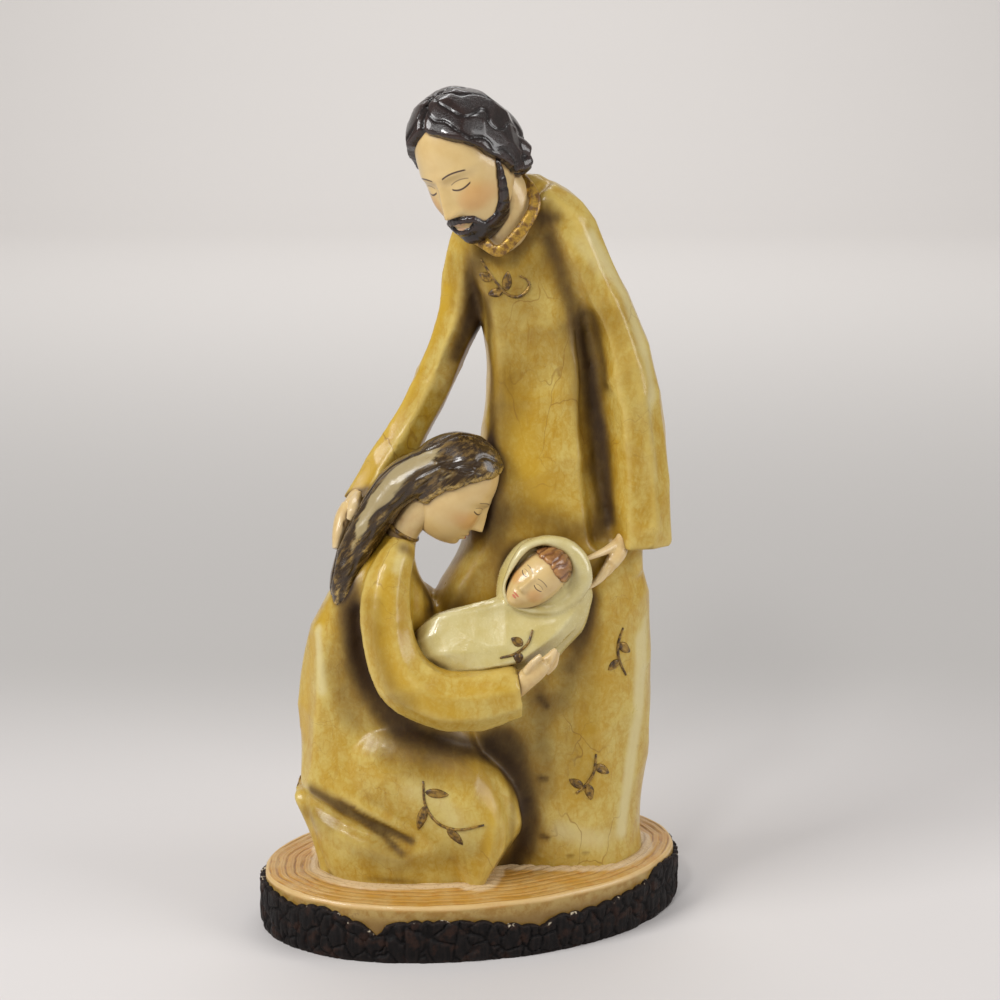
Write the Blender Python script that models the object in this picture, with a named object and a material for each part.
"""Kneeling mother, child and standing father, cast in one piece and set on an oval slice of log.

The group is modelled in its own pattern frame: u runs to the right, v away from the viewer and z up,
in millimetres of a pattern that stands PATTERN_HEIGHT tall above the slice. The frame of the whole
part has +X along the slice's long axis, -Y towards its front, +Z up, and its origin under the middle
of the slice. Every shape is a closed mesh; they overlap, and a voxel remesh fuses them into one body.
"""

import math

import bmesh
import bpy
import numpy as np
from mathutils import Matrix, Vector, noise

# Driving dimensions, in metres
GROUP_HEIGHT = 0.284
SLICE_LENGTH = 0.160
SLICE_DEPTH = 0.106
SLICE_THICKNESS = 0.021
SLICE_WAVE = 0.0008
BARK_HEIGHT = 0.0135
BARK_PROUD = 0.0014
RIM_ROUND = 0.0016
SEAM_GAP = 0.0003
GROUP_TURN = math.radians(-17.0)

# The group's pattern, in millimetres
PATTERN_HEIGHT = 284.0
PATTERN_FOOT = 21.0
UNIT = GROUP_HEIGHT / PATTERN_HEIGHT

# Meshing
PATTERN_VOXEL = 1.3
ROBE_PASSES = 5
GROUP_PASSES = 1
GROUP_TRIANGLES = 7800
SLICE_SIDES = 96

# Colours of the paint: linear RGB, roughness, metallic
PAINT = {
    "figure_group": ((0.56, 0.42, 0.12), 0.30, 0.0),
    "log_slice": ((0.50, 0.30, 0.11), 0.45, 0.0),
}


# Helpers on arrays and meshes


def smoothstep(low, high, x):
    """0 below low, 1 above high, and an even S between them."""
    t = np.clip((np.asarray(x, float) - low) / (high - low), 0.0, 1.0)
    return t * t * (3.0 - 2.0 * t)


def bump(x, centre, width):
    """A bell of height 1 at centre, in one or more coordinates."""
    x, centre, width = np.atleast_2d(x), np.atleast_1d(centre), np.atleast_1d(width)
    return np.exp(-(((x - centre) / width) ** 2).sum(-1))


def curve_through(points, steps):
    """Catmull-Rom values through the rows of points, steps to a span."""
    p = np.asarray(points, float)
    ends = np.vstack([2 * p[0] - p[1], p, 2 * p[-1] - p[-2]])
    t = np.linspace(0, 1, steps, endpoint=False)[:, None]
    found = []
    for a, b, c, d in zip(ends, ends[1:], ends[2:], ends[3:], strict=False):
        found.append(b + 0.5 * t * (c - a + t * (2 * a - 5 * b + 4 * c - d + t * (3 * (b - c) + d - a))))
    return np.vstack([*found, p[-1:]])


def coordinates(mesh):
    flat = np.empty(len(mesh.vertices) * 3)
    mesh.vertices.foreach_get("co", flat)
    return flat.reshape(-1, 3)


def set_coordinates(mesh, points):
    mesh.vertices.foreach_set("co", np.asarray(points, np.float32).ravel())
    mesh.update()


def finish_mesh(bm, name):
    """Closes the open ends of bm, points its faces outwards and makes a mesh of it."""
    bmesh.ops.holes_fill(bm, edges=bm.edges)
    bmesh.ops.recalc_face_normals(bm, faces=bm.faces)
    mesh = bpy.data.meshes.new(name)
    bm.to_mesh(mesh)
    bm.free()
    return mesh


def next_ring(bm, ring, edges):
    """Extrudes a ring of edges and gives the new ring's corners, in the same order, and its edges."""
    made = bmesh.ops.extrude_edge_only(bm, edges=edges)["geom"]
    new = {g for g in made if isinstance(g, bmesh.types.BMVert)}
    ring = [next(e.other_vert(v) for e in v.link_edges if e.other_vert(v) in new) for v in ring]
    return ring, [g for g in made if isinstance(g, bmesh.types.BMEdge) and set(g.verts) <= new]


def loft(name, rings, sides=24, steps=5, power=2.3):
    """A closed skin over rings, each a centre and two half-axes: nine numbers. power 2 is an ellipse
    and more is squarer. The first ring is extruded and moved along the rest, with a flat to each
    axis."""
    angle = 2 * np.pi * (np.arange(sides) + 0.5) / sides
    across = np.sign(np.cos(angle)) * np.abs(np.cos(angle)) ** (2 / power)
    along = np.sign(np.sin(angle)) * np.abs(np.sin(angle)) ** (2 / power)
    bm = bmesh.new()
    bmesh.ops.create_circle(bm, cap_ends=False, radius=1, segments=sides)
    bm.verts.ensure_lookup_table()
    ring = list(bm.verts)
    edges = list(bm.edges)
    for i, row in enumerate(curve_through(rings, steps)):
        if i:
            ring, edges = next_ring(bm, ring, edges)
        centre, a, b = row[:3], row[3:6], row[6:9]
        for v, ca, sa in zip(ring, across, along, strict=True):
            v.co = Vector(centre + ca * a + sa * b)
    return finish_mesh(bm, name)


def column(name, sections, sides=28, power=2.4, steps=4):
    """An upright form. A section is z, left u, right u, front v, back v and a turn in degrees."""
    rings = []
    for z, left, right, front, back, turn in sections:
        c, s = math.cos(math.radians(turn)), math.sin(math.radians(turn))
        half, deep = (right - left) / 2, (back - front) / 2
        middle = ((left + right) / 2, (front + back) / 2, z)
        rings.append((*middle, half * c, half * s, 0, -deep * s, deep * c, 0))
    return loft(name, rings, sides, steps, power)


def limb(name, stations, sides=14, power=2.2, steps=4, roll=0.0):
    """A form along a path. A station is u, v, z, its half-width as seen from the front and its
    half-depth; roll turns the sections about the path, in degrees."""
    s = np.asarray(stations, float)
    path = s[:, :3]
    tangent = np.gradient(path, axis=0)
    tangent /= np.linalg.norm(tangent, axis=1)[:, None]
    wide = np.cross(tangent, (0.0, -1.0, 0.0))
    wide /= np.linalg.norm(wide, axis=1)[:, None]
    deep = np.cross(wide, tangent)
    c, n = math.cos(math.radians(roll)), math.sin(math.radians(roll))
    turned = wide * c + deep * n, deep * c - wide * n
    rings = np.hstack([path, turned[0] * s[:, 3:4], turned[1] * s[:, 4:5]])
    return loft(name, rings, sides, steps, power)


def ball(name, centre, radii, turn=(0, 0, 0), rings=3):
    """An ellipsoid; turn is about X, Y and Z in degrees."""
    bm = bmesh.new()
    bmesh.ops.create_icosphere(bm, subdivisions=rings, radius=1)
    angles = Vector(math.radians(t) for t in turn)
    turned = Matrix.Rotation(angles.z, 4, "Z") @ Matrix.Rotation(angles.y, 4, "Y")
    turned = turned @ Matrix.Rotation(angles.x, 4, "X")
    place = Matrix.Translation(centre) @ turned @ Matrix.Diagonal((*radii, 1))
    bmesh.ops.transform(bm, matrix=place, verts=bm.verts)
    return finish_mesh(bm, name)


def tapered_block(name, corners_low, corners_high):
    """A carved block between two outlines of four corners each."""
    bm = bmesh.new()
    bmesh.ops.create_cube(bm, size=2)
    for v in bm.verts:
        corners = corners_high if v.co.z > 0 else corners_low
        index = {(-1, -1): 0, (1, -1): 1, (1, 1): 2, (-1, 1): 3}[(round(v.co.x), round(v.co.y))]
        v.co = Vector(corners[index])
    bmesh.ops.bevel(bm, geom=bm.edges, offset=2.0, segments=2, profile=0.5, affect="EDGES", material=-1)
    return finish_mesh(bm, name)


def shave(mesh, *corners):
    """Pares the mesh flat along the plane through three corners, on the side away from its middle."""
    a, b, c = (np.asarray(p, float) for p in corners)
    normal = np.cross(b - a, c - a)
    normal /= np.linalg.norm(normal)
    points = coordinates(mesh)
    if (points.mean(0) - a) @ normal > 0:
        normal = -normal
    proud = np.clip((points - a) @ normal, 0, None)
    set_coordinates(mesh, points - proud[:, None] * normal)


# Heads, in shares of the head's height: the face looks to -y, eyes at z = 0, chin at -0.5


def face_relief(x, z, beard):
    """How far the face stands out at x, z: brow, sockets, closed lids, nose, lips, cheeks and chin."""
    p = np.stack([np.abs(x), z], -1)
    brow = 0.014 * bump(p, (0.12, 0.085), (0.14, 0.035))
    sockets = -0.036 * bump(p, (0.135, 0.010), (0.085, 0.055))
    lids = 0.030 * bump(p, (0.135, -0.005), (0.060, 0.040))
    cheeks = 0.014 * bump(p, (0.18, -0.13), (0.09, 0.09))
    drop = np.clip((0.07 - z) / 0.26, 0, 1)
    ridge = np.exp(-((x / (0.026 + 0.024 * drop)) ** 2))
    nose = (0.012 + 0.088 * drop) * ridge * smoothstep(0.13, 0.03, z) * smoothstep(-0.225, -0.180, z)
    wings = 0.020 * bump(p, (0.048, -0.178), (0.026, 0.026))
    lips = 0.022 * bump(p, (0.0, -0.278), (0.075, 0.020))
    lips = lips + 0.024 * bump(p, (0.0, -0.325), (0.060, 0.022))
    parting = -0.014 * bump(p, (0.0, -0.302), (0.085, 0.009))
    hollow = -0.010 * bump(p, (0.0, -0.368), (0.070, 0.022))
    chin = (0.028 + 0.012 * beard) * bump(p, (0.0, -0.435), (0.085, 0.060))
    return brow + sockets + lids + cheeks + nose + wings + lips + parting + hollow + chin


def head_points(d, beard=0.0):
    """Points of a head over the unit directions d, without hair: an egg-shaped skull over a jaw that
    is fuller in front and narrows to the chin."""
    x, y, z = d.T
    low = np.clip(-z, 0, 1)
    fullness = np.where(z < 0, 3.2, 2.2)
    ring = (1 - np.abs(z) ** fullness) ** (1 / fullness) / np.sqrt(np.maximum(1 - z * z, 1e-6))
    px = 0.312 * x * ring * (1 - 0.40 * low**1.6)
    py = np.where(y < 0, 0.355 * y, 0.44 * y * (1 - 0.62 * low)) * ring
    front = smoothstep(0.15, 0.60, -y)
    return np.stack([px, py - 0.03 * low - front * face_relief(px, 0.5 * z, beard), 0.5 * z], -1)


def round_the_head(d):
    """Degrees round the head from the middle of the face, the same on both sides."""
    return np.degrees(np.arctan2(np.abs(d[:, 0]), -d[:, 1]))


def head(name, height, place, hair, beard=0.0, detail=5):
    """A head of the given height in mm. hair(d, p) gives how far hair or beard stands out at each
    direction, in shares of the height; place moves the head from its own frame to the group's."""
    bm = bmesh.new()
    bmesh.ops.create_icosphere(bm, subdivisions=detail, radius=1)
    mesh = finish_mesh(bm, name)
    d = coordinates(mesh)
    d /= np.linalg.norm(d, axis=1)[:, None]
    p = head_points(d, beard)
    p = (p + d * hair(d, p)[:, None]) * height
    set_coordinates(mesh, p)
    mesh.transform(place)
    return mesh


def aim(centre, turn, nod, tip):
    """Places a head: tip in its own plane, nod down, then turn to the viewer's right, in degrees."""
    turned = Matrix.Rotation(math.radians(turn), 4, "Z") @ Matrix.Rotation(math.radians(nod), 4, "X")
    return Matrix.Translation(centre) @ turned @ Matrix.Rotation(math.radians(tip), 4, "Y")


def hair_cap(d, p, line, thickness):
    """Hair above a line given as degrees round the head and heights."""
    degrees, heights = zip(*line, strict=True)
    edge = np.interp(round_the_head(d), degrees, heights)
    return thickness * smoothstep(-0.010, 0.014, p[:, 2] - edge)


# Degrees round the head, and the height of the hair's or beard's edge there
FATHER_HAIRLINE = (
    (0, 0.375),
    (25, 0.310),
    (50, 0.215),
    (66, 0.115),
    (80, -0.020),
    (100, -0.25),
    (180, -0.34),
)
MOTHER_HAIRLINE = (
    (0, 0.300),
    (30, 0.270),
    (55, 0.210),
    (75, 0.120),
    (95, -0.030),
    (115, -0.22),
    (180, -0.34),
)
BEARD_LINE = (
    (0, -0.350),
    (14, -0.335),
    (24, -0.300),
    (38, -0.300),
    (56, -0.200),
    (70, -0.06),
    (82, 0.000),
)


def father_hair(d, p):
    """Parted in the middle and swept back over the ears, with a short beard along the jaw."""
    around = round_the_head(d)
    parting = 0.4 * np.exp(-((p[:, 0] / 0.02) ** 2)) * (around < 90)
    cap = hair_cap(d, p, FATHER_HAIRLINE, 0.055) * (1 - parting)
    degrees, heights = zip(*BEARD_LINE, strict=True)
    under = smoothstep(0.010, -0.012, p[:, 2] - np.interp(around, degrees, heights))
    lip = bump(np.stack([np.abs(p[:, 0]), p[:, 2]], -1), (0.045, -0.255), (0.075, 0.020))
    whiskers = np.maximum(under * smoothstep(84, 76, around), 0.7 * lip * (around < 60))
    return cap + 0.026 * whiskers


def mother_hair(d, p):
    return hair_cap(d, p, MOTHER_HAIRLINE, 0.060)


def child_hair(d, p):
    return 0.02 * smoothstep(0.24, 0.27, p[:, 2])


FATHER_HEAD = aim((-0.6, -9.5, 278.2), -33, 27, -13)
MOTHER_HEAD = aim((-7.4, -15.0, 161.6), 84, 38, 0)
CHILD_HEAD = aim((25.0, -25.5, 132.5), -20, -14, 44)


def heads():
    return [
        head("father_head", 49.0, FATHER_HEAD, father_hair, beard=1.0),
        limb("father_neck", [(14, 3, 255, 9, 9), (11, -1, 264, 8.6, 9), (6, -4, 272, 8.2, 8.5)]),
        limb(
            "father_side_lock",
            [
                (9, -13, 286, 2, 4),
                (14, -10, 282, 4.5, 5),
                (18.5, -6, 279, 5, 5.5),
                (20.5, -1, 277.5, 3.6, 4.5),
            ],
        ),
        ball("father_back_hair", (7, 2, 283), (12, 12, 14), (0, -20, 0)),
        head("mother_head", 38.0, MOTHER_HEAD, mother_hair),
        limb("mother_neck", [(-22, -14, 142, 8, 8), (-18, -14.5, 150, 6.6, 7), (-13, -15, 157, 6.8, 7)]),
        head("child_head", 25.0, CHILD_HEAD, child_hair, detail=4),
    ]


def mother_tresses():
    """Long hair from the crown over the back of the neck and down the back, to a tapered end."""
    return limb(
        "mother_tresses",
        [
            (-2, -15, 172, 8, 12),
            (-12, -15, 170, 9.5, 12.5),
            (-22, -14, 162, 8.5, 12),
            (-31, -14, 150, 7.6, 11),
            (-38, -15, 139, 7.2, 9.5),
            (-43, -17, 130, 5.6, 8),
            (-46, -19, 122, 2.6, 5),
        ],
        sides=20,
    )


def father_robe():
    robe = column(
        "father_robe",
        [
            (14, -30, 64, -28, 34, 16),
            (22, -30, 64, -28, 34, 16),
            (50, -28, 65.5, -26, 31, 15),
            (85, -24, 67, -24, 29, 13),
            (117, -16, 66, -22, 27, 11),
            (138, -7, 61, -19, 26, 9),
            (150, -3, 53, -18.5, 25.5, 9),
            (165, 1, 47, -18, 25, 9),
            (182, 4, 45, -17, 24, 9),
            (204, 6, 43.5, -16, 23, 8),
            (222, 5, 42, -15.5, 21, 5),
            (240, 0, 41, -15, 19, 2),
            (252, -4, 42, -12, 17, 0),
            (262, -1, 38, -7, 15, -4),
            (269, 6, 32, -2, 13, -8),
            (274, 12, 25, 2, 11, -8),
        ],
    )
    shave(robe, (59.5, -19, 116), (49, -24.5, 30), (66.5, -2, 75))
    shave(robe, (-6, -16, 140), (-24, -24, 30), (20, -21.5, 60))
    shave(robe, (8, -15, 215), (28, -16, 150), (34, -15.5, 235))
    back = column(
        "father_back",
        [
            (118, 0, 64, -8, 27, 9),
            (150, 3, 61, -4, 25, 9),
            (182, 7, 58, -4, 23.5, 9),
            (204, 8, 55, -4, 22.5, 8),
            (222, 8, 50, -4, 20.5, 5),
            (240, 6, 43, -4, 18.5, 2),
            (254, 6, 36, -3, 16, 0),
        ],
    )
    return [
        robe,
        back,
        limb(
            "father_far_arm",
            [
                (6, 4, 258, 9, 9),
                (1, 4, 250, 9.5, 10),
                (-1, 5, 240, 9.5, 10),
                (-3.5, 6, 226, 8.8, 9.5),
                (-8, 7, 212, 8.2, 9),
                (-14, 8, 197, 8.0, 9),
                (-22, 8, 182, 8.2, 9),
                (-30.5, 7, 168, 8.8, 9),
                (-38, 5, 157, 8.8, 8.6),
            ],
            sides=6,
            power=2.0,
            roll=-8,
        ),
        limb(
            "father_near_arm",
            [
                (26, 2, 265.5, 7.5, 10),
                (33, 1.5, 259, 9, 11),
                (39, 1, 248, 9.8, 12),
                (45.5, 0, 234, 9.8, 13),
                (52.5, -2, 219, 9.4, 13.5),
                (57.3, -3.5, 200, 10.0, 14),
                (60, -4, 180, 11.0, 14),
                (61.3, -5, 160, 11.8, 14),
                (61.5, -5, 150, 12.0, 14),
                (61.5, -5, 141.5, 11.8, 13.5),
            ],
            sides=8,
            power=2.0,
        ),
        limb(
            "father_collar",
            [(14.5, 4, 256, 12.5, 13), (13, 1.5, 261, 11.8, 12.5), (12, -0.5, 265, 11, 11.5)],
            sides=20,
        ),
    ]


def hands():
    """Three hands, as mittens with the fingers held together and the thumb apart."""
    return [
        limb("far_palm", [(-40, 1, 155, 4.5, 4), (-45, -3, 148, 3.6, 5), (-48, -6, 141, 2.6, 4)]),
        limb(
            "far_thumb",
            [(-40, -4, 156, 2.6, 2.6), (-43.5, -8, 151.5, 2.8, 2.4), (-45, -10, 147, 2.0, 2.0)],
        ),
        limb("near_wrist", [(60, -9, 144, 5.5, 4), (54, -14, 142.5, 5.0, 3.6), (50, -16, 137, 4.6, 3.2)]),
        limb(
            "near_fingers",
            [(50, -16, 138, 4.2, 3.2), (46, -17, 131, 3.2, 2.8), (41.5, -17, 125, 1.8, 2.2)],
        ),
        limb(
            "near_thumb",
            [(52, -15, 141, 3.0, 3.0), (46, -17, 139.5, 2.2, 2.4), (40.5, -18, 136.5, 1.6, 1.8)],
        ),
        limb("mother_palm", [(15, -33, 92, 5.5, 5), (21, -34, 96.5, 5.0, 4), (27, -34, 102, 3.6, 3.4)]),
        limb(
            "mother_fingers",
            [(26, -34, 101, 3.4, 3.2), (30, -33, 106, 2.6, 3), (32, -31, 111.5, 1.4, 2.0)],
        ),
    ]


def mother_robe():
    body = column(
        "mother_body",
        [
            (14, -56, 15, -33, 4, 4),
            (24, -58, 15.5, -35, 4, 4),
            (40, -60, 15, -35, 4, 4),
            (55, -61.5, 9, -33, 4, 3),
            (70, -62.5, 2, -30, 3, 2),
            (88, -63.5, -4, -29, 3, 0),
            (104, -60.5, -10, -28, 2, 0),
            (120, -54, -13, -27, 1, 0),
            (132, -47, -14, -26, -1, 0),
            (141, -38, -14.5, -24, -4, 0),
            (148, -30, -15.5, -21, -8, 0),
        ],
        power=2.6,
    )
    shave(body, (-52, -31, 100), (-57, -31, 40), (-63.5, -12, 70))
    thigh = limb(
        "mother_thigh",
        [
            (-47, -17, 70, 17, 16),
            (-32, -19, 64, 19, 17),
            (-16, -21, 55, 20, 17.5),
            (0, -21.5, 43, 19, 17),
            (5, -21, 28, 14, 16),
            (5, -20, 12, 10, 15),
        ],
        sides=16,
    )
    heel = tapered_block(
        "mother_feet",
        [(-62, -22, 12), (-20, -36, 12), (-20, 4, 12), (-64, 6, 12)],
        [(-66.5, -19, 57), (-22, -36, 34), (-22, 2, 34), (-66.5, 3, 58)],
    )
    return [
        body,
        thigh,
        heel,
        limb(
            "mother_near_arm",
            [
                (-24, -20, 146, 5, 5),
                (-27, -24, 139, 7.5, 8),
                (-29, -28, 129, 9.2, 9),
                (-29.5, -31, 116, 9.8, 9.5),
                (-27.5, -34.5, 104, 10.6, 9.8),
                (-20, -37, 95, 11.2, 10),
                (-9, -38, 92, 11.0, 9.5),
                (5, -37, 92, 10.8, 9),
                (17.0, -34.5, 94, 9.6, 8.2),
            ],
            sides=8,
            power=2.0,
        ),
        limb(
            "mother_far_arm",
            [
                (-24, -7, 140, 7, 7),
                (-21, -1, 126, 9, 8.5),
                (-12, 1, 112, 9, 9),
                (4, -2, 104, 9, 9),
                (18, -8, 104, 8, 8),
            ],
            sides=10,
            power=2.0,
        ),
        limb("mother_collar", [(-21, -14, 143, 9.6, 9.4), (-18, -14.2, 148.5, 8.0, 8.0)], sides=18),
    ]


def swaddled_child():
    body = limb(
        "child_body",
        [
            (-20, -22, 106, 6, 6),
            (-14, -24, 108, 9.5, 8),
            (-5, -26, 111, 11.5, 10),
            (5, -27, 113, 12.5, 11),
            (15, -26, 115, 13, 11),
            (24, -24.5, 120, 13.5, 11),
            (31, -22, 126, 13, 10.5),
        ],
        sides=10,
        power=2.0,
    )
    shave(body, (-8, -37, 118), (22, -36, 112), (8, -31, 126))
    shave(body, (-10, -33, 112), (-2, -37, 104), (2, -27, 124))
    hood = limb(
        "child_hood",
        [
            (17, -21, 116, 8, 6),
            (21, -20, 122, 13, 9),
            (26, -18.5, 131, 15.8, 11.5),
            (29.5, -17, 139, 13.8, 10.5),
            (32, -15.5, 147, 8, 6),
        ],
        sides=16,
    )
    shave(hood, (14, -27.5, 130), (28, -27, 120), (36, -25, 142))
    return [body, hood]


# Folds and hollows carved into the fused skin: a path, its half-width and its depth, in mm.
# A negative depth raises a ridge.
FOLDS = [
    (
        [(27, -13, 249), (33, -14, 236), (39, -13, 223)]
        + [(42.5, -12, 205), (45, -12, 180), (47.5, -15, 146)],
        3.6,
        4.5,
    ),
    ([(1, -12, 240), (4, -12, 226), (5, -11, 214)], 3.0, 2.0),
    ([(30, -16, 205), (35, -19, 175), (38, -21, 145)], 5.0, 1.6),
    ([(-66, -12, 60), (-60, -24, 57), (-50, -31, 52), (-37, -35, 46), (-24, -38, 40)], 3.4, 4.0),
    ([(11, -32, 74), (16, -33, 52), (19, -33, 30)], 3.6, 3.0),
    ([(-39, -27, 120), (-38, -30, 108), (-32, -33, 92), (-18, -37, 80), (4, -37, 76)], 3.6, 3.0),
    ([(-17, -16, 150), (-15, -17, 134), (-14, -20, 120)], 2.0, 0.8),
]


def carve(points, normals, path, width, depth):
    """Pushes the points near a path inwards along their normals, as a gouge would."""
    route = curve_through(path, 6)
    nearest = np.full(len(points), np.inf)
    for a, b in zip(route, route[1:], strict=False):
        along = np.clip(((points - a) @ (b - a)) / max((b - a) @ (b - a), 1e-9), 0, 1)
        nearest = np.minimum(nearest, np.linalg.norm(points - a - along[:, None] * (b - a), axis=1))
    fade = np.exp(-((nearest / width) ** 2))
    return points - normals * (depth * fade)[:, None]


def evaluated(obj):
    """The object's mesh after its modifiers."""
    graph = bpy.context.evaluated_depsgraph_get()
    mesh = bpy.data.meshes.new_from_object(obj.evaluated_get(graph), depsgraph=graph)
    old = obj.data
    obj.modifiers.clear()
    obj.data = mesh
    bpy.data.meshes.remove(old)
    return mesh


def skinned(name, meshes, voxel, passes):
    """One closed and softened skin round overlapping meshes."""
    bm = bmesh.new()
    for mesh in meshes:
        bm.from_mesh(mesh)
        bpy.data.meshes.remove(mesh)
    joined = bpy.data.meshes.new(name)
    bm.to_mesh(joined)
    bm.free()
    obj = bpy.data.objects.new(name, joined)
    bpy.context.scene.collection.objects.link(obj)
    remesh = obj.modifiers.new("skin", "REMESH")
    remesh.mode = "VOXEL"
    remesh.voxel_size = voxel
    smooth = obj.modifiers.new("soften", "SMOOTH")
    smooth.iterations = passes
    smooth.factor = 0.5
    evaluated(obj)
    return obj


def folded(mesh):
    """Carves the folds into a mesh, one after the other."""
    for path, width, depth in FOLDS:
        normals = np.empty(len(mesh.vertices) * 3)
        mesh.vertices.foreach_get("normal", normals)
        set_coordinates(mesh, carve(coordinates(mesh), normals.reshape(-1, 3), path, width, depth))
    return mesh


def thinned(obj, triangles):
    """Reduces the mesh to about that many triangles, keeping the small forms."""
    obj.data.calc_loop_triangles()
    thin = obj.modifiers.new("thin", "DECIMATE")
    thin.decimate_type = "COLLAPSE"
    thin.use_collapse_triangulate = True
    thin.ratio = min(1.0, triangles / len(obj.data.loop_triangles))
    evaluated(obj)


def cut_flat(obj, height):
    """Cuts the underside off level at height and closes it."""
    bm = bmesh.new()
    bm.from_mesh(obj.data)
    cut = bmesh.ops.bisect_plane(
        bm,
        geom=[*bm.verts, *bm.edges, *bm.faces],
        dist=1e-7,
        plane_co=(0, 0, height),
        plane_no=(0, 0, 1),
        clear_inner=True,
    )["geom_cut"]
    rim = [g for g in cut if isinstance(g, bmesh.types.BMEdge)]
    bmesh.ops.holes_fill(bm, edges=rim)
    bmesh.ops.triangulate(bm, faces=bm.faces)
    bmesh.ops.recalc_face_normals(bm, faces=bm.faces)
    bm.to_mesh(obj.data)
    bm.free()


def painted(obj):
    """Gives the object its own Principled material."""
    colour, roughness, metallic = PAINT[obj.name]
    material = bpy.data.materials.new(obj.name)
    material.use_nodes = True
    shader = material.node_tree.nodes["Principled BSDF"]
    shader.inputs["Base Color"].default_value = (*colour, 1)
    shader.inputs["Roughness"].default_value = roughness
    shader.inputs["Metallic"].default_value = metallic
    obj.data.materials.clear()
    obj.data.materials.append(material)


def figure_group():
    """The three figures as one casting, standing on the slice."""
    robes = skinned("robes", father_robe() + mother_robe(), PATTERN_VOXEL, ROBE_PASSES)
    cloth = folded(robes.data).copy()
    bpy.data.objects.remove(robes)
    parts = [cloth, mother_tresses(), *swaddled_child(), *heads(), *hands()]
    obj = skinned("figure_group", parts, PATTERN_VOXEL, GROUP_PASSES)
    thinned(obj, GROUP_TRIANGLES)
    lift = Matrix.Translation((0, 0, -PATTERN_FOOT))
    size = Matrix.Scale(UNIT, 4)
    seat = Matrix.Translation((0, 0, SLICE_THICKNESS))
    obj.data.transform(seat @ Matrix.Rotation(GROUP_TURN, 4, "Z") @ size @ lift)
    cut_flat(obj, SLICE_THICKNESS + SEAM_GAP)
    painted(obj)


def wave(angle, seed, octaves):
    """Smooth noise round the slice that meets itself, from about -1 to 1."""
    spot = Vector((2.2 * math.cos(angle), 2.2 * math.sin(angle), seed))
    return sum(noise.noise(spot * 2**k) / 2**k for k in range(octaves))


def fit_to_slice(points):
    """Centres the slice's points over the origin and stretches them to its exact length and depth."""
    low, high = points.min(0), points.max(0)
    size = np.array((SLICE_LENGTH, SLICE_DEPTH)) / (high - low)[:2]
    points[:, :2] = (points[:, :2] - ((low + high) / 2)[:2]) * size
    return points


def log_slice():
    """An oval slice of log: a pale peeled edge above, and rough dark bark proud of it below."""
    angles = 2 * np.pi * np.arange(SLICE_SIDES) / SLICE_SIDES
    edge = np.array([SLICE_WAVE * wave(t, 3.0, 2) for t in angles])
    bark_top = np.array([BARK_HEIGHT * (1 + 0.25 * wave(t, 6.0, 3)) for t in angles])
    # Each ring: its height, then how far it stands outside the peeled edge
    rings = [(0.0 * angles, 0.15 * BARK_PROUD)]
    for share, proud, seed in ((0.25, 0.8, 11.0), (0.60, 0.9, 12.0), (0.92, 0.7, 13.0)):
        rough = np.array([proud + 0.6 * wave(t, seed, 4) for t in angles])
        rings.append((share * bark_top, BARK_PROUD * rough))
    rings.append((bark_top, 0.0))
    rings.append((SLICE_THICKNESS - RIM_ROUND + 0 * angles, 0.0))
    rings.append((SLICE_THICKNESS - 0.3 * RIM_ROUND + 0 * angles, -0.3 * RIM_ROUND))
    rings.append((SLICE_THICKNESS + 0 * angles, -RIM_ROUND))
    bm = bmesh.new()
    bmesh.ops.create_circle(bm, cap_ends=False, radius=1, segments=SLICE_SIDES)
    bm.verts.ensure_lookup_table()
    ring, edges = list(bm.verts), list(bm.edges)
    for i, (height, proud) in enumerate(rings):
        if i:
            ring, edges = next_ring(bm, ring, edges)
        out = edge + proud
        for v, t, up, more in zip(ring, angles, height, out, strict=True):
            v.co = ((SLICE_LENGTH / 2 + more) * math.cos(t), (SLICE_DEPTH / 2 + more) * math.sin(t), up)
    mesh = finish_mesh(bm, "log_slice")
    set_coordinates(mesh, fit_to_slice(coordinates(mesh)))
    obj = bpy.data.objects.new("log_slice", mesh)
    bpy.context.scene.collection.objects.link(obj)
    painted(obj)


def main():
    for obj in list(bpy.data.objects):
        bpy.data.objects.remove(obj)
    figure_group()
    log_slice()


main()
